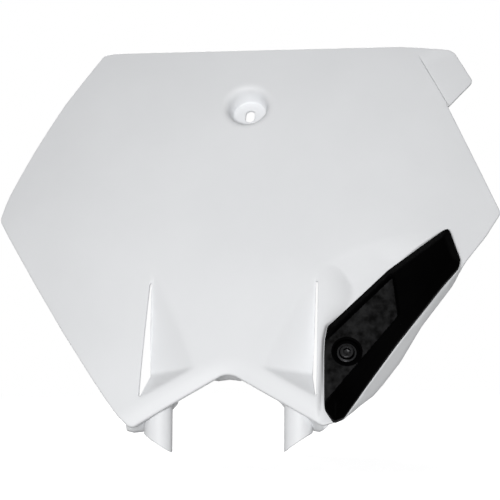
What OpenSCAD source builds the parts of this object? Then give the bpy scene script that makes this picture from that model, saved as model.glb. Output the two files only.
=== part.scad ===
// Racing number board: a moulded front plate for an off-road motorcycle, with a black hose
// guide screwed on its lower right corner.
// Millimetres. X runs to the right across the board, -Y is its front, +Z is up.
// The origin is the middle of the upper screw seat.

/* [Panel] */
// width between the two side points
panel_w = 302.4; // [296:1:312]
// width of the top edge
panel_top_w = 191; // [184:1:196]
// width between the two lower corners
foot_w = 112; // [108:1:114]
// length of the panel, measured along its slope
panel_h = 252; // [246:1:258]
// height of the side points up the slope
side_h = 142; // [136:1:150]
// how far the middle of the top edge dips
top_dip = 7.6; // [2:0.2:10]
// how far the left edges bow outwards
side_bow = 4; // [2:0.25:5]
// rounding of the panel's corners
corner_r = 6; // [3:0.5:8]
// wall thickness of the moulding
wall = 2.4; // [2:0.1:3]
// backward lean of the panel on the motorcycle
lean = 23.5; // [18:0.5:28]
// radius of the curve up the panel
crown_r = 825; // [760:5:950]
// height up the slope where that curve is upright
crown_z = 73; // [60:1:90]
// radius of the curve across the panel
sweep_r = 405; // [380:5:450]

/* [Lower opening] */
// height of the arch between the fork legs
arch_h = 31.5; // [28:0.5:33]
// rounding at the top of the arch
arch_r = 11; // [6:1:16]
// distance of the rib behind the front face
rib_back = 2; // [1.6:0.1:2.2]
// how far the rib hangs below the edge
rib_drop = 4.2; // [3:0.2:6]

/* [Air vents] */
// half the distance between the upper ends of the vents
vent_x = 48; // [46:0.5:50]
// height of their upper ends
vent_top = 91.5; // [84:0.5:96]
// height of their lower ends
vent_low = 17.5; // [16:0.5:20]
// outward slant of their outer edges
vent_slant = 3.6; // [2:0.2:5]
// depth of the pressed face at its deepest corner
vent_depth = 9.5; // [7:0.5:11]
// distance of the pressed face's inner corner from the centre line
vent_inner_x = 19.4; // [16:0.5:24]

/* [Upper screw recess] */
// height of the recess up the slope
cup_z = 205; // [196:1:212]
// radius of the recess at its rim
cup_rim_r = 13; // [12:0.5:15]
// radius of the flat seat
seat_r = 9; // [8:0.25:10]
// depth of the seat
cup_depth = 11; // [8:0.5:13]
// tilt of the recess from the panel's own normal
cup_tilt = 9.5; // [5:0.5:12]
// width of the slotted screw hole
slot_w = 5.4; // [5:0.1:6.6]
// length of the slotted screw hole
slot_l = 8.6; // [7:0.2:12]

/* [Side tab] */
// reach of the tab beyond the panel's edge
tab_reach = 20.5; // [16:0.5:24]
// step between the tab and the panel's front face
tab_step = 1.1; // [0.6:0.1:1.3]

/* [Prongs] */
// distance of each prong from the centre line
prong_x = 41.8; // [40:0.2:43]
// width of each prong
prong_w = 16.4; // [14:0.2:17]
// depth of each prong from front to back
prong_d = 14; // [12:0.5:18]
// wall thickness of each prong
prong_wall = 2.2; // [1.8:0.1:2.6]
// length of each prong below the panel's lower corners
prong_drop = 16.7; // [12:0.5:20]
// slope of the cut at its lower end
prong_cut = 35; // [25:1:40]

/* [Hose guide] */
// distance of its screw from the centre line
guide_x = 67.2; // [66:0.2:68]
// height of its screw
guide_z = 44.9; // [44:0.2:46]
// depth of the bed under the screw
bed_depth = 4.5; // [4:0.1:5.5]
// sideways slope of the bed
bed_yaw = 10.5; // [9:0.5:11.5]
// gap around the guide in its bed
bed_gap = 0.6; // [0.4:0.1:1]
// extra width of the plate beside the guide
bulge = 11.5; // [10:0.5:13]
// height of the guide's rim
guide_rim_h = 3; // [2.5:0.1:4]
// height of the guide's top face
guide_h = 9; // [7.5:0.5:11]
// height of the sunken face that holds the screw
pocket_h = 5; // [4.5:0.1:6]
// wall thickness of the guide
guide_wall = 2; // [1.6:0.1:2.4]

/* [Guide screw] */
// radius of the screw's flange
flange_r = 5.8; // [5.2:0.1:6.4]
// thickness of the flange
flange_t = 1.2; // [1:0.1:1.5]
// radius of the domed head
head_r = 4.4; // [4:0.1:4.8]
// height of the domed head above the flange
head_t = 2.2; // [1.8:0.1:2.6]
// width of the six-sided drive
drive_af = 4; // [3.5:0.5:5]
// radius of the shank
shank_r = 2.5; // [2.2:0.1:2.7]
// length of the shank
shank_l = 12; // [10:0.5:14]
// radius of the counterbore around the head
counterbore_r = 7.6; // [7.2:0.1:8]
// gap between the shank and its pilot hole
pilot_gap = 0.03; // [0.02:0.01:0.08]
// gap left between faces that rest on each other
seat_gap = 0.04; // [0.02:0.01:0.1]
// wall of the boss around the pilot hole
boss_wall = 2.2; // [1.8:0.1:2.6]

/* [Hidden] */
eps = 0.05;
crown_c = sweep_r - sqrt(crown_r * crown_r - crown_z * crown_z);
cup_axis_y = skin_y(0, cup_z);
seat = [0, cup_axis_y + cup_depth * cos(cup_tilt), cup_z - cup_depth * sin(cup_tilt)];
bed_y = skin_y(guide_x, guide_z) + bed_depth;
counterbore_h = pocket_h - 3;
pilot_r = shank_r + pilot_gap;
boss_l = shank_l - counterbore_h + 1.5;
prong_front = 4.5;
foot_pt = [foot_w / 2, 0];
side_pt = [panel_w / 2, side_h];
edge_run = side_pt - foot_pt;
edge_out = [edge_run[1], -edge_run[0]] / norm(edge_run);
top_pt = [panel_top_w / 2, panel_h];
rise = top_pt - side_pt;
rise_out = [rise[1], -rise[0]] / norm(rise);
bulge_steps = [[0.082, 0.54], [0.142, 0.87], [0.2, 0.99], [0.255, 0.96], [0.356, 0.87],
               [0.5, 0.68], [0.67, 0.49], [0.893, 0.22]];
bow_low = [[0.059, 0.62], [0.116, 0.81], [0.225, 0.92], [0.448, 0.94], [0.679, 0.67],
           [0.922, 0.24]];
bow_high = [[0.11, 0.75], [0.247, 0.95], [0.388, 1.03], [0.531, 1], [0.678, 0.87],
            [0.83, 0.35]];
crease_low = side_pt + 0.6 * rise;
guide_outline = [[-8.8, 18.8], [-11.8, 15.7], [-12.9, 7.7], [-12.9, -0.8], [-11.4, -30.7],
                 [-10.8, -34.8], [-6.5, -41], [-4.9, -42.5], [0.3, -39.2], [12.9, -18],
                 [28.8, 7.9], [53.5, 45.1], [62.3, 57], [63.2, 62], [56.3, 79.8],
                 [53.6, 81.1], [21.8, 53.2]];
pocket_outline = [[-40, 6], [-12.2, 6], [27.3, 45.1], [29.6, 21], [-12.5, -33.6], [-40, -60]];
guide_top = [[-7, 12.5], [-8.5, -1], [-7.6, -30], [-5, -35], [8.2, -14.5], [24.2, 10.6],
             [50.2, 49.2], [57, 60.5], [52.6, 73], [26, 49.6]];
guide_top_inside = [[-4.6, 10], [-6, -1], [-5.4, -28], [6.3, -13], [22.2, 12.4], [48, 50.4],
                    [53.6, 60.6], [50.6, 69], [27, 47.4]];
guide_inside = [[-8.5, 16.5], [-10.6, 8], [-10.6, -1], [-9.2, -30], [-5.5, -38], [10.6, -16],
                [26.6, 9.4], [52, 46.8], [60.4, 58.4], [54.4, 77], [22.8, 50.4]];

// Distance of the skin's surface from the axis of its sweep, at height z.
function skin_r(z) = crown_c + sqrt(crown_r * crown_r - (z - crown_z) * (z - crown_z));

// Depth of the front face at a point of the panel.
function skin_y(x, z) = sweep_r - sqrt(skin_r(z) * skin_r(z) - x * x);

// A point of the front face, or one that lies deeper by d.
function on_skin(p, d = 0) = [p[0], skin_y(p[0], p[1]) + d, p[1]];

// Turns what is drawn in the panel's own frame back to its lean, with the seat at the origin.
module leaned() {
    rotate([-lean, 0, 0])
        translate(-seat)
            children();
}

// Draws in an upright frame whose origin is midway between the panel's lower corners.
module upright() {
    rotate([-lean, 0, 0])
        translate(-seat)
            rotate([lean, 0, 0])
                children();
}

// Everything behind a copy of the front face that is set back by d.
module behind_skin(d = 0) {
    translate([0, sweep_r, 0])
        rotate([0, 0, -120])
            rotate_extrude(angle = 60, $fn = 240)
                intersection() {
                    translate([crown_c, crown_z])
                        circle(r = crown_r - d, $fn = 720);
                    translate([sweep_r - 120, -60])
                        square([180, 380]);
                }
}

// Extrudes a drawing on the panel, seen from the front, right through it.
module through(front = -60, back = 90) {
    translate([0, back, 0])
        rotate([90, 0, 0])
            linear_extrude(back - front)
                children();
}

// The edge of the panel: six sides, an arch below and a wider corner beside the guide.
module panel_outline() {
    half = panel_top_w / 2;
    top = [for (i = [-1, -0.5, 0, 0.5, 1]) [half * i, panel_h - top_dip * (1 - i * i)]];
    right = [for (s = bulge_steps) foot_pt + s[0] * edge_run + s[1] * bulge * edge_out];
    right_up = [for (i = [len(right) - 1 : -1 : 0]) right[i]];
    low = [for (s = bow_low) foot_pt + s[0] * edge_run + s[1] * side_bow * edge_out];
    high = [for (s = bow_high) side_pt + s[0] * rise + s[1] * side_bow * rise_out];
    left = [for (p = concat(low, [side_pt], high)) [-p[0], p[1]]];
    offset(r = -arch_r)
        offset(delta = arch_r)
            offset(r = corner_r)
                offset(delta = -corner_r)
                    polygon(concat(top, [side_pt], right_up, [foot_pt, [0, arch_h],
                                   [-foot_pt[0], 0]], left));
}

// A pyramid pressed into the panel. Its rim is listed clockwise as seen from the front.
module pressed(rim, tip, d) {
    apex = on_skin(tip, d);
    n = len(rim);
    polyhedron(concat([apex], [for (p = rim) apex + 1.5 * (on_skin(p) - apex)]),
               concat([for (i = [1 : n]) [0, i % n + 1, i]],
                      [for (i = [2 : n - 1]) [1, i, i + 1]]));
}

// The pressed face beside one vent.
module vent_press(side, shift = 0) {
    translate([0, shift, 0])
        mirror([side < 0 ? 1 : 0, 0, 0])
            pressed([[vent_x, vent_top], [vent_x + vent_slant, vent_low],
                     [vent_inner_x, 34.2]], [vent_x - 0.3, 34], vent_depth);
}

// The narrow opening between a pressed face and the panel outside it.
module vent_slot(side) {
    through()
        polygon([[side * vent_x, vent_top],
                 [side * (vent_x + 0.6 * vent_slant), vent_top - 27],
                 [side * (vent_x + 0.95 * vent_slant), vent_low + 18],
                 [side * (vent_x + vent_slant), vent_low],
                 [side * (vent_x - 0.3), 34],
                 [side * (vent_x + 0.5), 58]]);
}

// The hollow that leads down to the guide, and the fold above it.
module guide_valley(shift = 0) {
    translate([0, shift, 0]) {
        pressed([[49.6, 117], [71, 107.3], [78, 86.6], [72, 60], [54, 40], [52.6, 60]],
                [56.5, 64], 5);
        pressed([[72.8, 107.4], [112.5, 120.8], [118, 100], [80, 82]], [93, 92], 4.4);
    }
}

// Places a drawing on the bed, with its screw at the middle and height towards the front.
module on_bed() {
    translate([guide_x, bed_y, guide_z])
        rotate([90, 0, bed_yaw])
            children();
}

// The flat bed that the guide lies on, cut forward from its floor.
module bed(grow, floor_h = 0) {
    on_bed()
        translate([0, 0, floor_h])
            linear_extrude(40)
                offset(r = grow)
                    polygon(guide_outline);
}

// Places the axis of the upper screw recess along Z, pointing out of its seat.
module at_seat() {
    translate(seat)
        rotate([90 - cup_tilt, 0, 0])
            children();
}

// The round recess for the upper screw, as a solid that is t larger all round.
module cup(t = 0) {
    at_seat()
        translate([0, 0, -t])
            union() {
                cylinder(r1 = seat_r + 0.6 + t, r2 = cup_rim_r + t, h = cup_depth + t, $fn = 96);
                translate([0, 0, cup_depth + t - eps])
                    cylinder(r1 = cup_rim_r + t, r2 = cup_rim_r + 6 + t, h = 5, $fn = 96);
            }
}

// The slotted hole in the seat.
module seat_slot() {
    run = (slot_l - slot_w) / 2;
    at_seat()
        for (i = [-1, 1])
            translate([0, i * run, -wall - 5])
                cylinder(r = slot_w / 2, h = wall + 10, $fn = 48);
    at_seat()
        translate([-slot_w / 2, -run, -wall - 5])
            cube([slot_w, 2 * run, wall + 10]);
}

// The tab beyond the upper right edge, a step behind the panel's face.
module tab() {
    edge = top_pt - crease_low;
    out = [edge[1], -edge[0]] / norm(edge);
    intersection() {
        difference() {
            behind_skin(tab_step);
            behind_skin(tab_step + wall);
        }
        through()
            offset(r = 3)
                offset(delta = -3)
                    polygon([crease_low - 6 * out, crease_low, crease_low + 0.27 * edge + tab_reach * out,
                             crease_low + 0.81 * edge + 0.95 * tab_reach * out, top_pt + [1.5, 0.2],
                             top_pt - 6 * out]);
    }
}

// The rib behind the lower edge that carries the prongs.
module rib() {
    slope = arch_h / (foot_w / 2);
    low = function(x) arch_h - slope * x;
    intersection() {
        upright()
            through(-20, 20)
                for (i = [-1, 1])
                    polygon([[i * 57, -0.5], [i * 50.5, low(50.5) - rib_drop],
                             [i * 38, low(38) - rib_drop], [i * 28.5, low(28.5) - 2.5],
                             [i * 26, low(26) + 1], [i * 9.6, low(9.6) + 1.5],
                             [i * 6.5, arch_h - 7.4], [0, arch_h - 7],
                             [0, arch_h + 5], [i * 55, 5.5]]);
        leaned()
            difference() {
                behind_skin(rib_back);
                behind_skin(rib_back + 5);
            }
    }
}

// The outline of a prong from above, drawn smaller by the inset.
module prong_section(inset, depth) {
    r = prong_w / 2 - inset;
    circle(r = r, $fn = 64);
    translate([-r, 0])
        square([2 * r, depth]);
}

// A solid prong under the panel, cut off at a slope so that its inner side is the longer.
module prong(side) {
    translate([side * prong_x, prong_front + prong_w / 2, -prong_drop])
        difference() {
            linear_extrude(prong_drop + 21)
                prong_section(0, prong_d - prong_w / 2);
            translate([-side * prong_w / 2, 0, 0])
                rotate([0, -side * prong_cut, 0])
                    translate([-40, -40, -80])
                        cube([80, 80, 80]);
        }
}

// The channel in a prong, open at its rear and at its lower end.
module prong_channel(side) {
    intersection() {
        upright()
            translate([side * prong_x, prong_front + prong_w / 2, -prong_drop - 1])
                linear_extrude(prong_drop + 19)
                    prong_section(prong_wall, 25);
        leaned()
            behind_skin(wall);
    }
}

module number_plate() {
    color([0.93, 0.94, 0.95])
        difference() {
            union() {
                leaned()
                    plate_body();
                intersection() {
                    upright()
                        union() {
                            prong(1);
                            prong(-1);
                        }
                    leaned()
                        behind_skin(wall / 2);
                }
                rib();
            }
            prong_channel(1);
            prong_channel(-1);
            leaned() {
                cup();
                seat_slot();
                vent_press(1);
                vent_press(-1);
                vent_slot(1);
                vent_slot(-1);
                guide_valley();
                bed(bed_gap);
                pilot_hole();
            }
        }
}

// The skin, with the backs of all pressed shapes before they are hollowed from the front.
module plate_body() {
    intersection() {
        difference() {
            behind_skin();
            behind_skin(wall);
        }
        through()
            panel_outline();
    }
    intersection() {
        behind_skin();
        union() {
            cup(wall);
            vent_press(1, wall + 0.3);
            vent_press(-1, wall + 0.3);
            guide_valley(wall);
            intersection() {
                bed(bed_gap + wall, -wall);
                through()
                    panel_outline();
            }
        }
    }
    tab();
    screw_boss();
}

// The boss behind the bed that the guide's screw cuts its thread in.
module screw_boss() {
    on_bed()
        translate([0, 0, -boss_l])
            cylinder(r = pilot_r + boss_wall, h = boss_l - wall / 2, $fn = 64);
}

// The pilot hole through the bed and its boss.
module pilot_hole() {
    on_bed()
        translate([0, 0, -boss_l - 1])
            cylinder(r = pilot_r, h = boss_l + 5, $fn = 48);
}

// A body with an upright rim that narrows to its top face.
module tapered(low, low_h, high, high_h, base_h) {
    intersection() {
        translate([0, 0, base_h])
            linear_extrude(high_h - base_h)
                polygon(low);
        hull() {
            translate([0, 0, base_h])
                linear_extrude(low_h - base_h)
                    polygon(low);
            translate([0, 0, low_h])
                linear_extrude(high_h - low_h)
                    polygon(high);
        }
    }
}

module hose_guide() {
    color([0.06, 0.06, 0.065])
        leaned()
            on_bed()
                difference() {
                    tapered(guide_outline, guide_rim_h, guide_top, guide_h, seat_gap);
                    difference() {
                        tapered(guide_inside, guide_rim_h, guide_top_inside,
                                guide_h - guide_wall, -1);
                        translate([0, 0, pocket_h - guide_wall])
                            linear_extrude(20)
                                offset(delta = guide_wall)
                                    polygon(pocket_outline);
                        translate([0, 0, -2])
                            cylinder(r = counterbore_r + 1.6, h = 20, $fn = 96);
                    }
                    translate([0, 0, pocket_h])
                        linear_extrude(20)
                            polygon(pocket_outline);
                    translate([0, 0, counterbore_h])
                        cylinder(r = counterbore_r, h = 20, $fn = 96);
                    translate([0, 0, -1])
                        cylinder(r = shank_r + 0.4, h = 10, $fn = 48);
                }
}

module guide_screw() {
    head_z = counterbore_h + seat_gap;
    color([0.1, 0.1, 0.11])
        leaned()
            on_bed()
                translate([0, 0, head_z])
                    difference() {
                        union() {
                            cylinder(r = flange_r, h = flange_t, $fn = 96);
                            translate([0, 0, flange_t - eps])
                                cylinder(r1 = head_r, r2 = head_r * 0.72, h = head_t, $fn = 96);
                            translate([0, 0, -shank_l + 0.8])
                                cylinder(r = shank_r, h = shank_l, $fn = 48);
                            translate([0, 0, -shank_l])
                                cylinder(r1 = shank_r - 0.8, r2 = shank_r, h = 0.8, $fn = 48);
                        }
                        translate([0, 0, flange_t + head_t - 2.2])
                            cylinder(d = drive_af / cos(30), h = 5, $fn = 6);
                    }
}

number_plate();
hose_guide();
guide_screw();
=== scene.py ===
import bmesh
import bpy
import numpy as np
from mathutils import Matrix, Vector
from mathutils.geometry import delaunay_2d_cdt


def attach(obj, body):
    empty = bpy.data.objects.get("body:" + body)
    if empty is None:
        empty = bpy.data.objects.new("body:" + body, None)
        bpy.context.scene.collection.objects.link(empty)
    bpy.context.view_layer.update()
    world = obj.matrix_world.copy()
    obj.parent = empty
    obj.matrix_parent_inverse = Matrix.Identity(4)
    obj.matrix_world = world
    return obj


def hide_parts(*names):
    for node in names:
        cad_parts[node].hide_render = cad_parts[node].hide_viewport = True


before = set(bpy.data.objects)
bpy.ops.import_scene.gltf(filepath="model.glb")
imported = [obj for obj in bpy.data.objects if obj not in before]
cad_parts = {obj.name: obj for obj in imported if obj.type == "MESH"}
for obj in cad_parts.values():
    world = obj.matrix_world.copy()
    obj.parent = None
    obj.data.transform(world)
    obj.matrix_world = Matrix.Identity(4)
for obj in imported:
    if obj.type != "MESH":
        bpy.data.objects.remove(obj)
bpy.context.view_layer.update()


# The plate is one injection moulding in white plastic, 2.4 mm thick. Its skin is a barrel, curved
# across and up the board, and everything else is pressed into that skin or stands behind it. It
# hangs on one screw through the round recess near its top.
LEAN = np.radians(23.5)
SWEEP_R = 405.0
CROWN_R, CROWN_Z = 825.0, 73.0
WALL, EDGE_R = 2.4, 0.85
RECESS_Z, RECESS_TILT, RECESS_DEPTH = 205.0, np.radians(9.5), 11.0
GUIDE_AT, GUIDE_YAW = (67.2, 44.9), np.radians(10.5)
BED_DEPTH, BED_GAP = 4.5, 0.25


def skin(x, z):
    """Depth of the front: a circle across the board, whose radius follows a second circle up it."""
    centre = SWEEP_R - np.sqrt(CROWN_R ** 2 - CROWN_Z ** 2)
    r = centre + np.sqrt(CROWN_R ** 2 - (z - CROWN_Z) ** 2)
    return SWEEP_R - np.sqrt(r ** 2 - x ** 2)


def inwards(x, z):
    """Unit vectors into the board, square to the skin: its gradient by central differences."""
    gx = (skin(x + 0.1, z) - skin(x - 0.1, z)) / 0.2
    gz = (skin(x, z + 0.1) - skin(x, z - 0.1)) / 0.2
    n = np.stack([-gx, np.ones_like(gx), -gz], axis=-1)
    return n / np.linalg.norm(n, axis=-1, keepdims=True)


SEAT = np.array([0.0, skin(0.0, RECESS_Z) + RECESS_DEPTH * np.cos(RECESS_TILT),
                 RECESS_Z - RECESS_DEPTH * np.sin(RECESS_TILT)])


def leaned(p):
    """Panel millimetres to metres in the shared frame, whose origin is the middle of the recess's
    seat: moved by the seat's place, then turned back about X."""
    q = (p - SEAT) * 0.001
    c, s = np.cos(LEAN), np.sin(LEAN)
    return np.stack([q[..., 0], q[..., 1] * c + q[..., 2] * s, q[..., 2] * c - q[..., 1] * s], axis=-1)


def blunt_max(a, b, k):
    """The larger of two heights, with the crease between them rounded over a difference of k."""
    h = np.maximum(k - np.abs(a - b), 0.0) / k
    return np.maximum(a, b) + h * h * k / 4


def blunt_min(a, b, k):
    """The smaller of two heights, with its crease rounded in the same way."""
    return -blunt_max(-a, -b, k)


def ease(t):
    """A step from 0 to 1 that starts and ends level: 3t^2 - 2t^3 of the clipped value."""
    t = np.clip(t, 0.0, 1.0)
    return t * t * (3 - 2 * t)


def unit(v):
    """Rows of vectors brought to length 1."""
    return v / np.linalg.norm(v, axis=-1, keepdims=True)


def rounded(corners, step):
    """A closed line through corners (x, z, radius): each corner is an arc that touches both of its
    sides, with its centre on their bisector at radius / sin(half the angle), and the whole is then
    spaced evenly by its length."""
    corners = np.array(corners, float)
    k, r = corners[:, :2], corners[:, 2]
    a, b = unit(np.roll(k, 1, axis=0) - k), unit(np.roll(k, -1, axis=0) - k)
    half = np.arccos(np.clip((a * b).sum(1), -1, 1)) / 2
    mid = unit(a + b)
    centre = k + mid * (r / np.sin(half))[:, None]
    side = np.sign(a[:, 0] * b[:, 1] - a[:, 1] * b[:, 0])
    t = np.linspace(-1, 1, 25)[None, :] * (np.pi / 2 - half)[:, None] * -side[:, None]
    c, s = np.cos(t)[..., None], np.sin(t)[..., None]
    back = -mid[:, None, :] * r[:, None, None]
    turned = np.stack([-back[..., 1], back[..., 0]], axis=-1)
    line = (centre[:, None, :] + back * c + turned * s).reshape(-1, 2)
    line = line[np.linalg.norm(np.roll(line, -1, axis=0) - line, axis=1) > 1e-6]
    closed = np.vstack([line, line[:1]])
    run = np.concatenate([[0], np.cumsum(np.linalg.norm(np.diff(closed, axis=0), axis=1))])
    n = int(run[-1] / step)
    s = np.arange(n) * (run[-1] / n)
    return np.stack([np.interp(s, run, closed[:, 0]), np.interp(s, run, closed[:, 1])], axis=-1)


def moved_in(loop, d):
    """The loop moved to its left by d, along the mean normal of the two sides at each point."""
    along = unit(np.roll(loop, -1, axis=0) - np.roll(loop, 1, axis=0))
    return loop + d * np.stack([-along[:, 1], along[:, 0]], axis=-1)


def inside(loop, p):
    """Whether points lie inside a loop: an odd number of its sides crosses the ray to their right."""
    a, b = loop[None], np.roll(loop, -1, axis=0)[None]
    x, z = p[:, None, 0], p[:, None, 1]
    spans = (a[..., 1] > z) != (b[..., 1] > z)
    rise = np.where(spans, b[..., 1] - a[..., 1], 1.0)
    meets = a[..., 0] + (z - a[..., 1]) * (b[..., 0] - a[..., 0]) / rise
    return (spans & (x < meets)).sum(1) % 2 == 1


def far_from(loop, p):
    """Distance from points to a loop: to the nearest point of each side, and the least of those.
    The points are taken 2000 at a time to spare memory."""
    a, b = loop, np.roll(loop, -1, axis=0)
    out = []
    for q in np.array_split(p, max(1, len(p) // 2000)):
        t = np.clip(((q[:, None] - a) * (b - a)).sum(2) / ((b - a) ** 2).sum(1), 0, 1)
        out.append(np.sqrt((((q[:, None] - a) - t[..., None] * (b - a)) ** 2).sum(2).min(1)))
    return np.concatenate(out)


def outside_by(loop, p):
    """Distance from points to a loop, negative for those inside it."""
    return far_from(loop, p) * np.where(inside(loop, p), -1, 1)


# Outlines run counter-clockwise through corners (x, z, radius): the plate from its lower right
# corner up beside the guide, over the tab and the top, and down the left edge to the arch; one
# vent; and the guide, about its screw's middle.
TOP_SAG = 0.00074
PLATE_EDGE = rounded(
    [(56.0, 0.9, 3), (67.4, 5.4, 6), (75.7, 16.0, 14), (82.2, 23.8, 14), (87.3, 31.4, 20),
     (96.6, 46.2, 40), (108.2, 67.7, 60), (123.7, 92.6, 60), (143.4, 125.3, 60), (151.2, 142, 5),
     (117.8, 210.9, 0.8), (131.3, 231.7, 4.0), (118.6, 252.9, 6)]
    + [(x, 245.7 + TOP_SAG * x * x, 60) for x in range(88, -89, -22)]
    + [(-94.8, 251.3, 5), (-106.2, 233.9, 20), (-116.5, 218.2, 60), (-125.2, 202.2, 60),
       (-133.3, 186.5, 60), (-140.8, 170.9, 60), (-147.7, 155.5, 60), (-151.2, 142, 6),
       (-144.6, 130.4, 60), (-122.9, 94.9, 60), (-101.8, 61.5, 60), (-80.5, 29.9, 60),
       (-69.7, 14.7, 30), (-63.7, 7.0, 12), (-56.2, 0, 4.5), (0, 32.0, 11)], 1.25)
VENT = rounded(
    [(48.6, 88.6, 0.25), (49.6, 87.6, 0.45), (50.45, 62, 20), (51.35, 35.5, 20), (51.8, 15.8, 0.3),
     (47.6, 33.5, 1.2), (48.4, 58, 30)], 1.1)
GUIDE_EDGE = [
    (-8.8, 18.8, 3), (-11.8, 15.7, 3), (-12.9, 7.7, 8), (-12.9, -0.8, 20), (-11.4, -30.7, 20),
    (-10.8, -34.8, 5), (-6.5, -41, 2), (-4.9, -42.5, 2), (0.3, -39.2, 5), (12.9, -18, 40),
    (28.8, 7.9, 60), (53.5, 45.1, 60), (62.3, 57, 6), (63.2, 62, 4), (56.3, 79.8, 3),
    (53.6, 81.1, 3), (21.8, 53.2, 20)]
vents = [VENT, (VENT * [-1, 1])[::-1]]
guide_print = rounded(GUIDE_EDGE, 1.2) * [np.cos(GUIDE_YAW), 1] + GUIDE_AT


def facet(*points):
    """The plane through three points (x, z, depth below the skin), as depths over x and z."""
    p = np.array(points, float)
    y = skin(p[:, 0], p[:, 1]) + p[:, 2]
    a, b, c = np.linalg.solve(np.stack([np.ones(3), p[:, 0], p[:, 1]], axis=1), y)
    return lambda x, z: a + b * x + c * z


# Each pressed hollow beside a vent has three faces that meet at its deepest point. Above the guide
# a fold falls towards its bed, and a second face ends it at the plate's edge.
PRESS_TIP, PRESS_DEEP = (19.4, 34.2, 0), (47.6, 34.5, 10.6)
upper_face = facet((48, 93.0, 0), PRESS_TIP, PRESS_DEEP)
lower_face = facet(PRESS_TIP, (51.6, 17.0, 0), PRESS_DEEP)
vent_face = facet((48.2, 93.0, 0), (51.8, 17.0, 0), PRESS_DEEP)
fold = facet((70.8, 109.5, 0), (112, 122.0, 0), (84, 88, 7.0))
fold_end = facet((112, 120.6, 0), (121, 100, 0), (100, 97, 4.6))

# The valley left of the guide, by height: where its wall starts, where it is steepest, and how
# deep it is there. Then the lip along the arch, the strip turned back right of the guide, and the
# crease at which the tab is set back.
VALLEY_START = [(30, 51.4), (50, 51.2), (62, 50.6), (75, 50.2), (120, 49.5)]
VALLEY_END = [(40, 54.4), (56, 55.2), (60, 57.2), (66.4, 61.5), (71.6, 65.4), (76.8, 69.2),
              (84, 70.4), (89.3, 68.6), (99.2, 64.4), (104.2, 61.6), (110, 59.5), (120, 58)]
VALLEY_DEEP = [(30, 2.2), (44, 2.8), (56, 3.9), (66, 5.5), (86, 5.9), (91, 5.2), (99.2, 3.1),
               (104.2, 1.7), (110, 0.7), (118, 0)]
LIP_Z, LIP_FALL, LIP_CROWN, LIP_SLOPE, LIP_END = 43.9, 0.605, 11.0, 0.31, 52.0
STRIP, STRIP_SLOPE = ((67.5, 5.7), (129.3, 106.9)), 2.4
TAB_CREASE, TAB_STEP = ((97.9, 246.7), (118.1, 210.9)), 1.25


def read_off(points, z):
    """A value read off a line of points (z, value), averaged over 8 mm to soften its corners."""
    p = np.array(points, float)
    return np.mean([np.interp(z + d, p[:, 0], p[:, 1]) for d in (-4, -2, 0, 2, 4)], axis=0)


def valley(x, z):
    """Depth of the valley's wall below the skin: it starts level, steepens as the power 2.2 of the
    way to its end line, and runs on from there at 0.035 of its depth per millimetre."""
    start, end, deep = (read_off(line, z) for line in (VALLEY_START, VALLEY_END, VALLEY_DEEP))
    t = np.clip((x - start) / (end - start), 0, 1)
    return deep * t ** 2.2 + np.maximum(x - end, 0) * 0.035 * deep


def beside(line, x, z):
    """Distances of points along a line of two points, and out to the right of it."""
    (x0, z0), (x1, z1) = line
    ex, ez = (x1 - x0) / np.hypot(x1 - x0, z1 - z0), (z1 - z0) / np.hypot(x1 - x0, z1 - z0)
    return (x - x0) * ex + (z - z0) * ez, (x - x0) * ez - (z - z0) * ex


def plate_front(x, z):
    """Depth of the plate's front over the panel. The skin and the pressed faces: whichever lies
    deeper. The fold and the valley: likewise, but no deeper than the guide's bed. Then the lip,
    a straight slope below its crest; the turned strip; the tab's step; and the flat bed, which
    replaces all the rest under the guide."""
    y = skin(x, z)
    m = np.abs(x)
    pressed = blunt_min(blunt_min(upper_face(m, z), lower_face(m, z), 1.2), vent_face(m, z), 0.4)
    y = blunt_max(y, pressed, 0.9)

    bed = skin(*GUIDE_AT) + BED_DEPTH + (x - GUIDE_AT[0]) * np.tan(GUIDE_YAW)
    hollow = blunt_min(fold(x, z), fold_end(x, z), 0.8)
    hollow = blunt_min(hollow, skin(x, z) + valley(x, z), 0.15)
    y = blunt_max(y, blunt_min(hollow, bed, 0.5), 0.5)

    below = LIP_Z - LIP_FALL * np.sqrt(x * x + LIP_CROWN ** 2) - z
    y = y + LIP_SLOPE * blunt_max(below, 0 * below, 4.5) * (1 - ease((x - LIP_END) / 4))

    along, out = beside(STRIP, x, z)
    share = ease((along + 8) / 16) * ease((124 - along) / 20)
    y = y + (blunt_max(y, bed + STRIP_SLOPE * out, 0.6) - y) * share

    down, out = beside(TAB_CREASE, x, z)
    y = y + TAB_STEP * ease((0.15 - out) / 0.6) * ease(down / 9) * (z > 180)

    near = (x > 40) & (z < 145)
    gap = outside_by(guide_print, np.stack([x, z], axis=-1)[near])
    share = ease((gap - BED_GAP + 0.1) / 0.9)
    y[near] = bed[near] * (1 - share) + y[near] * share
    return y


# The panel's points: rows along every edge, closer towards it so that the edge can be rounded,
# rows along the bed and the tab's crease, a fine net over the pressed half, and a wide one over
# the plain upper half. A round patch is left open for the recess.
EDGE_ROWS = EDGE_R * np.array([0.08, 0.3, 0.62, 1.0, 1.7])
BED_ROWS = (-0.4, 0.1, 0.3, 0.5, 0.75, 1.0, 1.4, 1.8)
CREASE_ROWS = (-0.9, -0.45, -0.2, 0, 0.2, 0.45, 0.7, 1.2)
PATCH_AT, PATCH_R = np.array([0, RECESS_Z + 0.9]), 18.5
AWAY = 9.0
ring_t = np.linspace(0, 2 * np.pi, 97)[:-1]
ring_of_1 = np.stack([np.cos(ring_t), np.sin(ring_t)], axis=-1)
patch_ring = PATCH_AT + PATCH_R * ring_of_1


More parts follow.
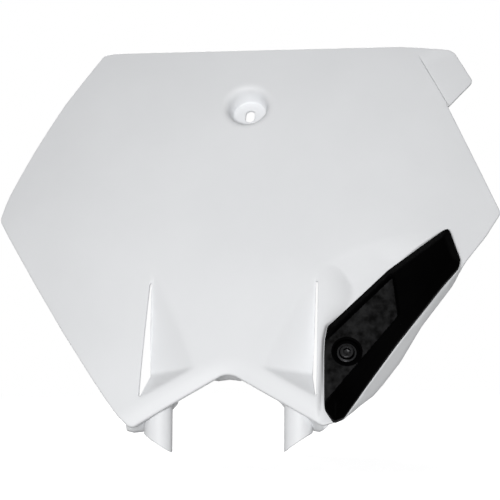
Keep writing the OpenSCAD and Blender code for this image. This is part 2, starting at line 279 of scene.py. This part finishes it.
def net(spacing, x0, x1, z0, z1):
    """A net of equal triangles over a rectangle: every other row is moved by half a spacing."""
    x, z = np.meshgrid(np.arange(x0, x1, spacing), np.arange(z0, z1, spacing * 0.866))
    shift = 0.5 * spacing * (np.arange(len(z)) % 2)[:, None]
    return np.stack([x + shift, z], axis=-1).reshape(-1, 2)


edge_rows, edge_depths = [], []
for line, share in ((PLATE_EDGE, 1.0), (vents[0], 0.7), (vents[1], 0.7)):
    for d in EDGE_ROWS:
        row = moved_in(line, d * share)
        row = row[far_from(line, row) > 0.97 * d * share]
        edge_rows.append(row)
        edge_depths.append(np.full(len(row), d))
bed_rows = [moved_in(guide_print, -d) for d in BED_ROWS]
bed_rows = [r[inside(moved_in(PLATE_EDGE, 2.2), r) & (far_from(VENT, r) > 1.2)] for r in bed_rows]
top, foot = np.array(TAB_CREASE)
crease = top + (foot - top) * np.linspace(0, 0.972, 34)[:, None]
square_to = unit((top - foot)[::-1] * [1, -1])
crease_rows = [crease + d * square_to for d in CREASE_ROWS]
crease_rows = [r[inside(moved_in(PLATE_EDGE, 1.6), r)] for r in crease_rows]
field = np.vstack([net(1.35, -152, 150, 0, 126), net(3.2, -152, 152, 128, 254)])
field = field[outside_by(PLATE_EDGE, field) < -2.2]
for v in vents:
    field = field[outside_by(v, field) > 1.5]
field = field[np.linalg.norm(field - PATCH_AT, axis=1) > PATCH_R + 1.5]
gap = outside_by(guide_print, field)
field = field[(gap < -0.9) | (gap > 2.4)]
to_crease = np.linalg.norm(field[:, None] - np.vstack(crease_rows), axis=2).min(1)
field = field[to_crease > 1.22]


def cut_net(edges, ring, points):
    """Triangles over the area inside the first edge line and outside the other edge lines and the
    ring. Returns the net's points, the number each had, its triangles, its free rim and the ring."""
    lines = edges + [ring]
    starts = np.cumsum([0] + [len(l) for l in lines])
    fixed = [(a + i, a + (i + 1) % n) for a, n in zip(starts, map(len, lines)) for i in range(n)]
    given = [Vector(q) for q in np.vstack(lines + points)]
    v, _, f, origin, _, _ = delaunay_2d_cdt(given, fixed, [], 0, 1e-5)
    source = np.array([o[0] for o in origin])
    p, tri = np.array([(q.x, q.y) for q in v]), np.array(f)
    mid = p[tri].mean(1)
    keep = inside(edges[0], mid)
    for line in lines[1:]:
        keep &= ~inside(line, mid)
    tri = tri[keep]
    sides = np.vstack([tri[:, [0, 1]], tri[:, [1, 2]], tri[:, [2, 0]]])
    _, first, count = np.unique(np.sort(sides, axis=1), axis=0, return_index=True, return_counts=True)
    on_ring = np.flatnonzero((source >= starts[-2]) & (source < starts[-1]))
    on_ring = on_ring[np.argsort(source[on_ring])]
    rim = sides[first[count == 1]]
    return p, source, tri, rim[~np.isin(rim, on_ring).all(1)], on_ring


def rounded_off(depth, r):
    """How far a face moves into its wall at a depth from its edge, on a quarter circle of radius r."""
    return np.where(depth < r, r - np.sqrt(np.maximum(r ** 2 - (r - depth) ** 2, 0)), 0)


def joined(rim, n):
    """Faces of the wall between a net's free rim and the same rim n points later."""
    return np.stack([rim[:, 1], rim[:, 0], rim[:, 0] + n, rim[:, 1] + n], axis=-1)


def around(grid):
    """Faces of rows of points that close on themselves, each row joined to the next."""
    turned = np.roll(grid, -1, axis=1)
    return np.stack([grid[:-1], turned[:-1], turned[1:], grid[1:]], axis=-1).reshape(-1, 4)


edges = [PLATE_EDGE] + vents
flat, source, tri, rim, ring = cut_net(edges, patch_ring, edge_rows + bed_rows + crease_rows + [field])
depth = np.concatenate([np.zeros(sum(map(len, edges))), np.full(len(patch_ring), AWAY)]
                       + edge_depths + [np.full(len(flat), AWAY)])[source]
x, z = flat.T
n_in = inwards(x, z)
surface = np.stack([x, plate_front(x, z), z], axis=-1)
drop = rounded_off(depth, EDGE_R)[:, None]
front, rear = surface + n_in * drop, surface + n_in * (WALL - drop)

# The recess of the upper screw is a cone with a flat seat, tilted a little to the panel's normal.
# One line runs from the front of the panel down the cone, over the seat, through the slotted hole
# and back up behind, and it is carried once around the recess.
FLOOR_R, RIM_R, FOOT_FILLET = 9.8, 12.3, 0.9
HOLE_HALF, HOLE_END_R = 1.6, 2.7
slot_line = HOLE_END_R * ring_of_1
slot_line[:, 1] += HOLE_HALF * np.clip(np.sin(ring_t) * 4, -1, 1)


def recess_point(r, h, t):
    """A point of the recess: radius r, height h above its seat, angle t, turned by its tilt."""
    c, s = np.cos(RECESS_TILT), np.sin(RECESS_TILT)
    x, v = r * np.cos(t), r * np.sin(t)
    return SEAT + np.stack([x + 0 * h, -h * c + v * s, v * c + h * s], axis=-1)


def recess_wall(grow, behind, fillet):
    """Rows from the panel to the seat, for the front or, grown by a wall, for the rear: straight to
    the fillet, a parabola over the rim, the cone, and a quarter circle at its foot. The height at
    which cone and panel meet is found in a few steps."""
    def on_cone(h):
        r = FLOOR_R + grow + (RIM_R - FLOOR_R) * h / RECESS_DEPTH
        return recess_point(r, h, ring_t)

    h = np.full_like(ring_t, RECESS_DEPTH)
    for _ in range(30):
        p = on_cone(h)
        h = h + (p[:, 1] - skin(p[:, 0], p[:, 2]) - behind) / np.cos(RECESS_TILT)
    corner = on_cone(h)
    away = corner[:, [0, 2]] - PATCH_AT
    reach = np.linalg.norm(away, axis=1)[:, None]
    start = PATCH_AT + away * (reach + fillet) / reach
    rows = []
    for t in np.linspace(0, 1, 5)[1:]:
        x, z = (patch_ring * (1 - t) + start * t).T
        rows.append(np.stack([x, skin(x, z), z], axis=-1) + inwards(x, z) * behind)
    first, last = rows[-1], on_cone(h - fillet)
    rows += [first * (1 - t) ** 2 + corner * 2 * t * (1 - t) + last * t ** 2
             for t in np.linspace(0, 1, 9)[1:]]
    rows += [on_cone((h - fillet) * (1 - t) + FOOT_FILLET * t) for t in np.linspace(0, 1, 5)[1:]]
    foot_r = FLOOR_R + grow + (RIM_R - FLOOR_R) * FOOT_FILLET / RECESS_DEPTH
    for t in np.linspace(0, np.pi / 2, 5)[1:]:
        r = foot_r - FOOT_FILLET * (1 - np.cos(t))
        rows.append(recess_point(r, FOOT_FILLET * (1 - np.sin(t)) + 0 * h, ring_t))
    return rows


def seat_rows(r_seat, height, turn):
    """Rows across the seat to the slotted hole, whose edge is rounded by 0.35 mm."""
    rows = []
    for t, drop, grow in ((0.35, 0, 0), (0.7, 0, 0), (1, 0, 0.35), (1, 0.1, 0.1), (1, 0.35, 0)):
        q = r_seat * ring_of_1 * (1 - t) + slot_line * (1 + grow / HOLE_END_R) * t
        r, a = np.linalg.norm(q, axis=1), np.arctan2(q[:, 1], q[:, 0])
        rows.append(recess_point(r, np.full_like(r, height - drop * turn), a))
    return rows


def solid(name, points, faces):
    """A smooth-shaded mesh object from points in the panel's millimetres and lists of faces."""
    me = bpy.data.meshes.new(name)
    me.from_pydata(leaned(points).tolist(), [], [f for part in faces for f in part.tolist()])
    me.validate()
    me.shade_smooth()
    ob = bpy.data.objects.new(name, me)
    bpy.context.scene.collection.objects.link(ob)
    return ob


front_rows = recess_wall(0.0, 0.0, 4.2) + seat_rows(8.8, 0.0, 1)
rear_rows = recess_wall(WALL, WALL, 2.4) + seat_rows(11.0, -WALL, -1)
recess = np.array(front_rows + rear_rows[::-1])
n = len(flat)
grid = 2 * n + np.arange(len(recess) * len(ring)).reshape(len(recess), -1)
plate = solid("plate", np.vstack([front, rear, recess.reshape(-1, 3)]),
              [tri, tri[:, ::-1] + n, joined(rim, n), around(np.vstack([ring, grid, ring + n]))])


def node(tree, kind, settings=(), **values):
    """A new node of a shader tree, with its settings and the values of its sockets."""
    new = tree.nodes.new("ShaderNode" + kind)
    for key, value in settings:
        setattr(new, key, value)
    for key, value in values.items():
        new.inputs[key.replace("_", " ")].default_value = value
    return new


def wire(tree, *wires):
    """Link sockets of a shader tree, each given as (node, output, node, input)."""
    for a, out, b, into in wires:
        tree.links.new(a.outputs[out], b.inputs[into])


def plastic(name, colours, roughness, grain, depth, specular, cloud=14.0):
    """Moulded plastic: its colour drifts between two tones in broad clouds, its roughness varies
    with the same clouds, and a fine grain of the given size and depth in metres is its bump."""
    mat = bpy.data.materials.new(name)
    mat.use_nodes = True
    tree = mat.node_tree
    shader = tree.nodes["Principled BSDF"]
    shader.inputs["Specular IOR Level"].default_value = specular
    at = node(tree, "TexCoord")
    clouds = node(tree, "TexNoise", Scale=cloud, Detail=4.0)
    mottle = node(tree, "MapRange", From_Min=0.35, From_Max=0.68)
    tint = node(tree, "Mix", [("data_type", "RGBA")], A=(*colours[0], 1), B=(*colours[1], 1))
    gloss = node(tree, "MapRange", To_Min=roughness[0], To_Max=roughness[1])
    speck = node(tree, "TexNoise", Scale=1.0 / grain, Detail=2.0)
    bump = node(tree, "Bump", Strength=0.35, Distance=depth)
    wire(tree, (at, "Object", clouds, "Vector"), (clouds, "Fac", mottle, "Value"),
         (mottle, "Result", tint, "Factor"), (tint, "Result", shader, "Base Color"),
         (clouds, "Fac", gloss, "Value"), (gloss, "Result", shader, "Roughness"),
         (at, "Object", speck, "Vector"), (speck, "Fac", bump, "Height"),
         (bump, "Normal", shader, "Normal"))
    return mat


white = plastic("white_plastic", ((0.80, 0.81, 0.825), (0.835, 0.845, 0.86)), (0.40, 0.48),
                grain=0.0012, depth=0.00002, specular=0.22)
plate.data.materials.append(white)
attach(plate, "root")
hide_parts("number_plate")


# Two prongs stand down behind the lower corners and slide over the fork clamp. Each is a channel of
# the same white moulding, with a half-oval front, open behind and below, cut off at a slope and
# closed by a roof on top. They are drawn upright, from midway between the lower corners.
PRONG_LEFT_X, PRONG_RIGHT_X = 41.8, 40.0
PRONG_FRONT, PRONG_REAR, PRONG_HALF, PRONG_BULGE = 11.5, 18.8, 8.2, 6.0
PRONG_WALL, PRONG_LOW, PRONG_CUT, PRONG_TOP, PRONG_RAKE = 2.2, -16.5, 0.66, 21.0, 0.11


def upright(p):
    """Upright millimetres to panel millimetres: turned about X by the board's lean."""
    c, s = np.cos(LEAN), np.sin(LEAN)
    return np.stack([p[..., 0], p[..., 1] * c - p[..., 2] * s, p[..., 2] * c + p[..., 1] * s], axis=-1)


def level_depth(x, z, behind):
    """Upright depth at which level lines at (x, z) meet the plate's front set back by a depth: a
    guess is put right by 0.8 of its error, thirty times."""
    y = 0 * x
    for _ in range(30):
        p = upright(np.stack([x, y, z], axis=-1))
        y = y - (p[..., 1] - plate_front(p[..., 0], p[..., 2]) - behind) * 0.8
    return y


def prong_path(inset):
    """The channel's plan: from one rear edge around the half-oval front to the other."""
    a = np.linspace(np.pi, 2 * np.pi, 33)
    r, bulge = PRONG_HALF - inset, PRONG_BULGE - inset
    leg = np.linspace(PRONG_REAR - PRONG_FRONT, PRONG_BULGE, 9)[:-1]
    x = np.concatenate([np.full(8, -r), r * np.cos(a), np.full(8, r)])
    return x, np.concatenate([leg, PRONG_BULGE + bulge * np.sin(a), leg[::-1]]) + PRONG_FRONT


def woven(k):
    """Faces between neighbouring rows and columns of a grid of points."""
    return np.stack([k[:-1, :-1], k[:-1, 1:], k[1:, 1:], k[1:, :-1]], axis=-1).reshape(-1, 4)


def folded(line):
    """Faces across a line of points that is folded at its middle, with a triangle at the fold."""
    half = len(line) // 2
    a, b = line[:half + 1], line[::-1][:half + 1]
    return [np.stack([a[:-1], b[:-1], b[1:], a[1:]], axis=-1)[:-1],
            np.array([[a[half - 1], b[half - 1], a[half]]])]


def prong(middle, side):
    """Outer and inner walls as grids along the plan and up. Where a wall would stand in front of the
    plate it is set back into the plate's wall. Below they are joined by a rounded rim, at the rear
    by their edges, and above by a roof and a ceiling that span the channel."""
    def placed(x, y, z):
        return side * (middle + x) + 0 * z, np.minimum(y + PRONG_RAKE * (z - 8), PRONG_REAR), z

    up = np.concatenate([[0, 0.02, 0.04], np.linspace(0.08, 1, 24)])[:, None]
    walls = []
    for inset, top, behind in ((0.0, PRONG_TOP, WALL / 2), (PRONG_WALL, PRONG_TOP - 3, WALL + 0.1)):
        x, y = prong_path(inset)
        low = PRONG_LOW + (x + PRONG_HALF) * PRONG_CUT
        x, y, z = placed(x, y, low + (top - low) * up)
        walls.append(np.stack([x, np.maximum(y, level_depth(x, z, behind)), z], axis=-1))
    outer, inner = walls
    x, y = prong_path(PRONG_WALL / 2)
    rim = np.stack(placed(x, y, PRONG_LOW + (x + PRONG_HALF) * PRONG_CUT - 0.15), axis=-1)
    near_rim = [wall[0] * 0.72 + rim * 0.28 - [0, 0, 0.28] for wall in (inner, outer)]
    grid = np.concatenate([inner[::-1], near_rim[:1], rim[None], near_rim[1:], outer])
    k = np.arange(grid.shape[0] * grid.shape[1]).reshape(grid.shape[:2])
    faces = [woven(k)] + folded(k[-1]) + folded(k[0]) + folded(k[:, 0]) + folded(k[:, -1])
    return upright(grid.reshape(-1, 3)), faces


def sealed(ob):
    """Merge a mesh's coincident points, close the roof's rear end and turn all faces outwards."""
    shell = bmesh.new()
    shell.from_mesh(ob.data)
    bmesh.ops.remove_doubles(shell, verts=shell.verts, dist=5e-6)
    bmesh.ops.dissolve_degenerate(shell, edges=shell.edges, dist=5e-6)
    bmesh.ops.holes_fill(shell, edges=shell.edges, sides=4)
    bmesh.ops.recalc_face_normals(shell, faces=shell.faces)
    shell.to_mesh(ob.data)
    shell.free()
    ob.data.shade_smooth()


for name, middle, side in (("prong_left", PRONG_LEFT_X, -1), ("prong_right", PRONG_RIGHT_X, 1)):
    ob = solid(name, *prong(middle, side))
    sealed(ob)
    ob.data.materials.append(white)
    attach(ob, "root")


# A rib stands behind the lower edge, between the corners, moulded in one with the plate. It is a
# thin flange that is turned back as it goes down, so that only dark slivers of it show, at the
# crown of the arch and beside the prongs. RIB_LOW gives its lower edge (x from the middle, z).
RIB_LOW = np.array(
    [(0, 23.9), (6.5, 23.2), (8.7, 24.0), (11.3, 26.8), (13.0, 25.6), (25.0, 18.2), (27.0, 15.9),
     (28.2, 13.5), (29.3, 11.7), (30.4, 9.9), (32.0, 8.1), (33.5, 6.3), (35.5, 4.6), (36.5, 12.5),
     (45.5, 7.5), (46.5, -4.8), (50.0, -5.7), (54.0, -5.8), (56.8, -4.5), (59.3, -2.5), (61.2, 0.4)])
RIB_NEAR, RIB_T, RIB_TURN, RIB_DEEP, RIB_SHIFT = 2.1, 2.4, 4.0, 16.0, -1.6
# Its section, as shares of its depth, of its thickness and of its height up to the plate's edge.
RIB_SECTION = np.array([(0.5, 1, 0.5), (0.06, 1, 0.94), (0, 0.8, 1), (0, 0.3, 1), (0.06, 0, 0.94),
                        (0.25, 0, 0.75), (0.5, 0, 0.5), (0.75, 0, 0.25), (0.95, 0, 0.05),
                        (1, 0.2, 0), (1, 0.8, 0), (0.95, 1, 0.05)])
s = np.linspace(-57.5, 61, 245)[:, None]
edge_z = 31.5 - 0.5625 * np.sqrt(s ** 2 + 16)
low = np.interp(np.abs(s), *RIB_LOW.T)
deep = np.clip(RIB_TURN * (edge_z - low), 2.5, RIB_DEEP) * (1 - 0.8 * ease((np.abs(s) - 47) / 11))
rise = np.maximum(edge_z + 0.3, low + 0.5) - low
z = low + RIB_SECTION[:, 1] * RIB_T + RIB_SECTION[:, 2] * rise
x = s + RIB_SHIFT + 0 * z
y = level_depth(x, z, RIB_NEAR + deep * RIB_SECTION[:, 0])
k = np.arange(z.size).reshape(z.shape)
rib = solid("edge_rib", upright(np.stack([x, y, z], axis=-1)).reshape(-1, 3),
            [around(k), k[:1, ::-1], k[-1:]])
rib.data.materials.append(white)
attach(rib, "root")


# The hose guide is a black moulding that lies in a flat bed on the plate, under its one screw. It
# rises in facets from a low rim to a flat top, and a sunken face in it has a fine grain and the
# counterbore for the screw. It is drawn about the screw's middle: u along the bed, v up it.
GUIDE_H, SUNKEN_H, RIM_H, GUIDE_EDGE_R, LIFT = 9.0, 5.0, 3.0, 0.7, 0.04
BORE_FLOOR, BORE_R, HOLE_R, BORE_PATCH_R = 2.0, 7.6, 2.9, 9.0
GUIDE_TOP = np.array([(-7, 12.5), (-8.5, -1), (-7.6, -30), (-5, -35), (57, 60.5), (52.6, 73),
                      (26, 49.6)])
SUNKEN = rounded([(-40, 6, 1), (-40, -60, 1), (-12.5, -33.6, 1), (28.2, 23.6, 0.6),
                  (24.2, 47.6, 0.6), (-12.2, 6, 1)], 1.1)
SUNKEN_ROWS = (-1.4, -0.7, -0.3, 0, 0.3, 0.7)
GUIDE_ROWS = GUIDE_EDGE_R * np.array([0.09, 0.3, 0.6, 1.0, 1.6])
# The bore's rows (radius, height), from its chamfered mouth to the underside.
BORE = [(8.6, SUNKEN_H), (8.1, SUNKEN_H), (7.85, SUNKEN_H - 0.05), (7.66, SUNKEN_H - 0.2),
        (BORE_R, SUNKEN_H - 0.45), (BORE_R, 3.4), (BORE_R, BORE_FLOOR + 0.4),
        (7.5, BORE_FLOOR + 0.12), (7.2, BORE_FLOOR), (5, BORE_FLOOR), (HOLE_R + 0.2, BORE_FLOOR),
        (HOLE_R, BORE_FLOOR - 0.2), (HOLE_R, 1.0), (HOLE_R, LIFT), (6, LIFT)]


def on_bed(u, v, h):
    """Points over the bed: u along it and v up it from the screw's middle, h out from its floor."""
    c, s = np.cos(GUIDE_YAW), np.sin(GUIDE_YAW)
    at = np.array([GUIDE_AT[0], skin(*GUIDE_AT) + BED_DEPTH, GUIDE_AT[1]])
    return at + np.stack([u * c + h * s, u * s - h * c, v + 0 * h], axis=-1)


def turned(profile):
    """Rows around the screw's axis, one for each radius (or ring of radii) and height."""
    return np.array([on_bed(*(r * ring_of_1.T), np.full(len(ring_t), float(h))) for r, h in profile])


def guide_front(p):
    """Height of the guide: the least of the planes that fall from each side of its top to its rim,
    with the flat top and the sunken face cut in; each crease is rounded."""
    rim_p = np.array(GUIDE_EDGE)[:, :2]
    h = np.full(len(p), GUIDE_H)
    for a, b in zip(GUIDE_TOP, np.roll(GUIDE_TOP, -1, axis=0)):
        out = np.array([b[1] - a[1], a[0] - b[0]]) / np.linalg.norm(b - a)
        slope = (GUIDE_H - RIM_H) / ((rim_p - a) @ out).max()
        h = blunt_min(h, GUIDE_H - slope * ((p - a) @ out), 0.35)
    wall = SUNKEN_H + (outside_by(SUNKEN, p) - 0.1) * 3.2
    return blunt_min(h, blunt_max(wall, SUNKEN_H + 0 * wall, 0.6), 0.45)


guide_line = rounded(GUIDE_EDGE, 1.1)
bore_ring = BORE_PATCH_R * ring_of_1
edge_rows = [moved_in(guide_line, d) for d in GUIDE_ROWS]
edge_depths = [np.full(len(row), d) for row, d in zip(edge_rows, GUIDE_ROWS)]
sunken_rows = [moved_in(SUNKEN, d) for d in SUNKEN_ROWS]
sunken_rows = [r[inside(moved_in(guide_line, 1.6), r)] for r in sunken_rows]
sunken_rows = [r[np.linalg.norm(r, axis=1) > BORE_PATCH_R + 0.7] for r in sunken_rows]
field = net(1.5, -14, 65, -44, 83)
field = field[outside_by(guide_line, field) < -1.7]
field = field[(np.linalg.norm(field, axis=1) > BORE_PATCH_R + 1) & (far_from(SUNKEN, field) > 1.2)]
flat, source, tri, rim, ring = cut_net([guide_line], bore_ring, edge_rows + sunken_rows + [field])
depth = np.concatenate([np.zeros(len(guide_line)), np.full(len(bore_ring), AWAY)]
                       + edge_depths + [np.full(len(flat), AWAY)])[source]
front = on_bed(*flat.T, guide_front(flat) - rounded_off(depth, GUIDE_EDGE_R))
rear = on_bed(*flat.T, np.full(len(flat), LIFT))
bore = turned(BORE)
n = len(flat)
grid = 2 * n + np.arange(len(BORE) * len(ring)).reshape(len(BORE), -1)
guide = solid("hose_guide_body", np.vstack([front, rear, bore.reshape(-1, 3)]),
              [tri, tri[:, ::-1] + n, joined(rim, n), around(np.vstack([ring, grid, ring + n]))])
guide.data.materials.append(plastic(
    "black_plastic", ((0.0, 0.0, 0.0), (0.0012, 0.0012, 0.0013)), (0.42, 0.6),
    grain=0.0007, depth=0.00003, specular=0.008))
guide.data.materials.append(plastic(
    "grained_black", ((0.0, 0.0, 0.0), (0.016, 0.016, 0.0165)), (0.45, 0.6),
    grain=0.0006, depth=0.0002, specular=0.04, cloud=220.0))
finish = np.zeros(len(guide.data.polygons), int)
finish[:len(tri)] = inside(moved_in(SUNKEN, 0.2), flat[tri].mean(1))
guide.data.polygons.foreach_set("material_index", finish)
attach(guide, "root")
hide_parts("hose_guide")


# The guide's screw is blackened steel: a button head on a flange, with a six-sided drive, seated in
# the counterbore. Its shank runs through the guide and the bed into a boss behind the plate.
FLANGE_R, FLANGE_T, HEAD_R, HEAD_T, DRIVE_AF, SHANK_R, SHANK_L = 5.8, 1.2, 4.4, 2.2, 4.0, 2.5, 12.0
# A hexagon's radius by angle: half its width over the cosine of the angle from the nearest flat.
hexagon = DRIVE_AF / 2 / np.cos((ring_t + np.pi / 6) % (np.pi / 3) - np.pi / 6)
crown_t = np.linspace(0, 1, 9)
SCREW = [(0.02, -SHANK_L), (SHANK_R - 0.8, -SHANK_L), (SHANK_R - 0.05, -SHANK_L + 0.75),
         (SHANK_R, -SHANK_L + 0.9), (SHANK_R, -0.25), (SHANK_R + 0.2, -0.02),
         (FLANGE_R - 0.3, 0), (FLANGE_R - 0.08, 0.08), (FLANGE_R, 0.3), (FLANGE_R, 0.7),
         (FLANGE_R - 0.1, FLANGE_T - 0.1), (FLANGE_R - 0.35, FLANGE_T),
         (HEAD_R + 0.35, FLANGE_T + 0.02), (HEAD_R + 0.08, FLANGE_T + 0.14)]
SCREW += list(zip(HEAD_R - (HEAD_R - 3.0) * crown_t ** 1.7,
                  FLANGE_T + 0.35 + (HEAD_T - 0.35) * np.sin(crown_t * np.pi / 2)))
SCREW += [(hexagon * grow, FLANGE_T + HEAD_T - drop) for grow, drop in
          ((1.12, 0.0), (1.04, 0.05), (1.0, 0.25), (0.985, 1.0), (0.98, 1.9), (0.9, 2.05), (0.4, 2.3))]
SCREW += [(0.02, FLANGE_T + HEAD_T - 2.5)]
rows = turned([(r, BORE_FLOOR + LIFT + h) for r, h in SCREW])
k = np.arange(len(rows) * len(ring_t)).reshape(len(rows), -1)
screw = solid("guide_screw_body", rows.reshape(-1, 3), [around(k), k[:1, ::-1], k[-1:]])
steel = bpy.data.materials.new("blackened_steel")
steel.use_nodes = True
tree = steel.node_tree
shader = tree.nodes["Principled BSDF"]
shader.inputs["Metallic"].default_value = 1.0
at = node(tree, "TexCoord")
blots = node(tree, "TexNoise", Scale=900)
tint = node(tree, "Mix", [("data_type", "RGBA")], A=(0.006, 0.006, 0.0065, 1), B=(0.03, 0.03, 0.031, 1))
gloss = node(tree, "MapRange", To_Min=0.22, To_Max=0.42)
wire(tree, (at, "Object", blots, "Vector"), (blots, "Fac", tint, "Factor"),
     (tint, "Result", shader, "Base Color"), (blots, "Fac", gloss, "Value"),
     (gloss, "Result", shader, "Roughness"))
screw.data.materials.append(steel)
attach(screw, "root")
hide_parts("guide_screw")


# The boss behind the bed takes the screw's thread. It is a plain tube of the same white moulding as
# the plate, with a fillet where it grows out of the bed's rear.
PILOT_R, BOSS_R, BOSS_L = 2.53, 4.73, 11.5
BOSS = [(BOSS_R + 2.2, -WALL - 0.1), (BOSS_R + 0.9, -WALL - 0.3), (BOSS_R + 0.25, -WALL - 0.9),
        (BOSS_R, -WALL - 1.8), (BOSS_R - 0.1, -BOSS_L + 0.5), (BOSS_R - 0.25, -BOSS_L + 0.12),
        (BOSS_R - 0.6, -BOSS_L), (PILOT_R + 0.3, -BOSS_L), (PILOT_R + 0.05, -BOSS_L + 0.25),
        (PILOT_R, -BOSS_L + 0.6), (PILOT_R, -0.4), (BOSS_R, -0.4), (BOSS_R + 2.2, -0.8)]
k = np.arange(len(BOSS) * len(ring_t)).reshape(len(BOSS), -1)
boss = solid("screw_boss", turned(BOSS).reshape(-1, 3), [around(np.vstack([k, k[:1]]))[:, ::-1]])
boss.data.materials.append(white)
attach(boss, "root")


# The board stands on a wide pale floor. The camera, and glossy and transmission rays, see it as
# white paper that takes the board's shadow and turns plain white beyond arm's length. Diffuse rays
# meet a duller floor, so that it throws little light up on the undersides.
FLOOR_Z, FLOOR_HALF = -0.1959, 14
u, v = np.meshgrid(np.linspace(-FLOOR_HALF, FLOOR_HALF, 29), np.linspace(-FLOOR_HALF, FLOOR_HALF, 29))
me = bpy.data.meshes.new("floor")
me.from_pydata(np.stack([u, v, 0 * u + FLOOR_Z], axis=-1).reshape(-1, 3).tolist(), [],
               woven(np.arange(u.size).reshape(u.shape)).tolist())
floor = bpy.data.objects.new("floor", me)
bpy.context.scene.collection.objects.link(floor)


def seen_directly(tree):
    """A node that is 1 for camera, glossy and transmission rays and 0 for all others."""
    path = node(tree, "LightPath")
    either = node(tree, "Math", [("operation", "MAXIMUM")])
    any_of = node(tree, "Math", [("operation", "MAXIMUM")])
    wire(tree, (path, "Is Camera Ray", either, 0), (path, "Is Glossy Ray", either, 1),
         (either, "Value", any_of, 0), (path, "Is Transmission Ray", any_of, 1))
    return any_of


paper = bpy.data.materials.new("paper")
paper.use_nodes = True
tree = paper.node_tree
matt = tree.nodes["Principled BSDF"]
matt.inputs["Base Color"].default_value = (0.82, 0.82, 0.82, 1)
matt.inputs["Roughness"].default_value = 0.95
matt.inputs["Specular IOR Level"].default_value = 0.0
dull = node(tree, "BsdfDiffuse", Color=(0.15, 0.15, 0.15, 1))
glow = node(tree, "Emission", Strength=0.72)
lit = node(tree, "AddShader")
far = node(tree, "Emission", Strength=1.0)
at = node(tree, "TexCoord")
reach = node(tree, "VectorMath", [("operation", "LENGTH")])
fade = node(tree, "MapRange", [("interpolation_type", "SMOOTHSTEP")], From_Min=0.35, From_Max=0.75)
spread = node(tree, "MixShader")
pick = node(tree, "MixShader")
wire(tree, (matt, "BSDF", lit, 0), (glow, "Emission", lit, 1),
     (at, "Object", reach, 0), (reach, "Value", fade, "Value"), (fade, "Result", spread, "Fac"),
     (lit, "Shader", spread, 1), (far, "Emission", spread, 2),
     (seen_directly(tree), "Value", pick, "Fac"), (dull, "BSDF", pick, 1),
     (spread, "Shader", pick, 2), (pick, "Shader", tree.nodes["Material Output"], "Surface"))
me.materials.append(paper)


# The room is an even pale light, which the camera sees as white. A wide, low soft box stands level
# in front of the board, so that its light fades up the leaning plate, and a second one stands high
# behind it for the rear.
world = bpy.data.worlds.new("studio")
bpy.context.scene.world = world
world.use_nodes = True
tree = world.node_tree
room = tree.nodes["Background"]
room.inputs["Color"].default_value = (1, 1, 1, 1)
room.inputs["Strength"].default_value = 0.25
white_room = node(tree, "Background", Color=(1, 1, 1, 1), Strength=1.0)
pick = node(tree, "MixShader")
wire(tree, (seen_directly(tree), "Value", pick, "Fac"), (room, "Background", pick, 1),
     (white_room, "Background", pick, 2), (pick, "Shader", tree.nodes["World Output"], "Surface"))


def soft_box(name, at, look, wide, high, power):
    """A rectangular area lamp at a place, turned to face another."""
    lamp = bpy.data.lights.new(name, "AREA")
    lamp.shape = "RECTANGLE"
    lamp.size, lamp.size_y, lamp.energy = wide, high, power
    ob = bpy.data.objects.new(name, lamp)
    ob.location = at
    ob.rotation_euler = (Vector(look) - Vector(at)).to_track_quat("-Z", "Y").to_euler()
    bpy.context.scene.collection.objects.link(ob)


BOARD_MIDDLE = (0, 0, -0.08)
soft_box("front_box", (0.12, -2.05, -0.07), BOARD_MIDDLE, wide=0.9, high=0.22, power=32)
soft_box("rear_box", (-0.6, 2.3, 1.3), BOARD_MIDDLE, wide=1.2, high=1.2, power=45)


# The camera stands 2 m from the board, 10 degrees to its right, level and rolled by 0.8 degrees,
# with a 240 mm lens.
CAMERA_AT, CAMERA_YAW, CAMERA_ROLL = (0.3490, -1.9619, -0.0801), np.radians(10.12), np.radians(0.80)
cam = bpy.data.cameras.new("camera")
cam.sensor_width, cam.lens, cam.clip_end = 36, 240, 50
cam_ob = bpy.data.objects.new("camera", cam)
level, plumb = np.array([np.cos(CAMERA_YAW), np.sin(CAMERA_YAW), 0]), np.array([0, 0, 1.0])
c, s = np.cos(CAMERA_ROLL), np.sin(CAMERA_ROLL)
axes = [level * c - plumb * s, level * s + plumb * c]
axes.append(np.cross(*axes))
cam_ob.matrix_world = Matrix(np.vstack([np.column_stack(axes + [CAMERA_AT]), [0, 0, 0, 1]]).tolist())
bpy.context.scene.collection.objects.link(cam_ob)
bpy.context.scene.camera = cam_ob
bpy.context.scene.view_settings.view_transform = "Standard"
